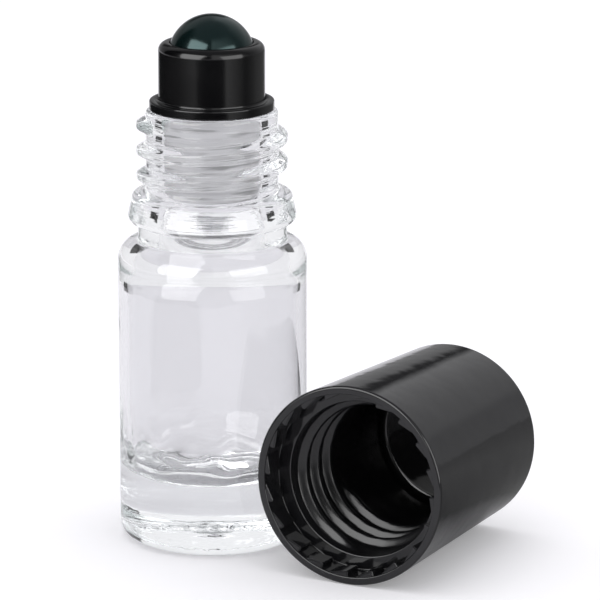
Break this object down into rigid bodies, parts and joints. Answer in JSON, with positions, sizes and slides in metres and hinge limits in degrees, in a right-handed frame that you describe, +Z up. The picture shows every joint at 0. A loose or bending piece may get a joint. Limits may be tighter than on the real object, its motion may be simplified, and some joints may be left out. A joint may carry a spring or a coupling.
{
  "type": "roll on bottle",
  "caption": "Small clear glass roll on bottle with a black ball cage and dark ball on its screw neck, and its black screw cap taken off and lying on its side beside it.",
  "frame": {"origin": "middle of the bottle's base, on the surface that it stands on", "axes": "+Z up along the bottle's axis; +Y along the lying cap's axis, from its mouth to its closed end; the cap lies on the +X side of the bottle"},
  "size_m": [0.046, 0.0292, 0.0627],
  "materials": {
    "clear_glass": "fire polished, clear",
    "black_plastic": "gloss moulded",
    "natural_plastic": "translucent, moulded",
    "dark_glass": "polished, almost black green",
    "cap_plastic": "gloss moulded"
  },
  "bodies": {
    "bottle": {"glass_bottle": "clear_glass", "plug_insert": "natural_plastic", "ball_cage": "black_plastic"},
    "ball": {"roller_ball": "dark_glass"},
    "cap": {"screw_cap": "cap_plastic"}
  },
  "joints": [
    {"name": "ball_roll", "type": "hinge", "parent": "bottle", "child": "ball", "pos_m": [0, 0, 0.05751], "axis": [1, 0, 0], "continuous": true},
    {"name": "cap_lift", "type": "slide", "parent": "bottle", "child": "cap", "axis": [0, 0, 1], "range_m": [0, 0.07]}
  ]
}
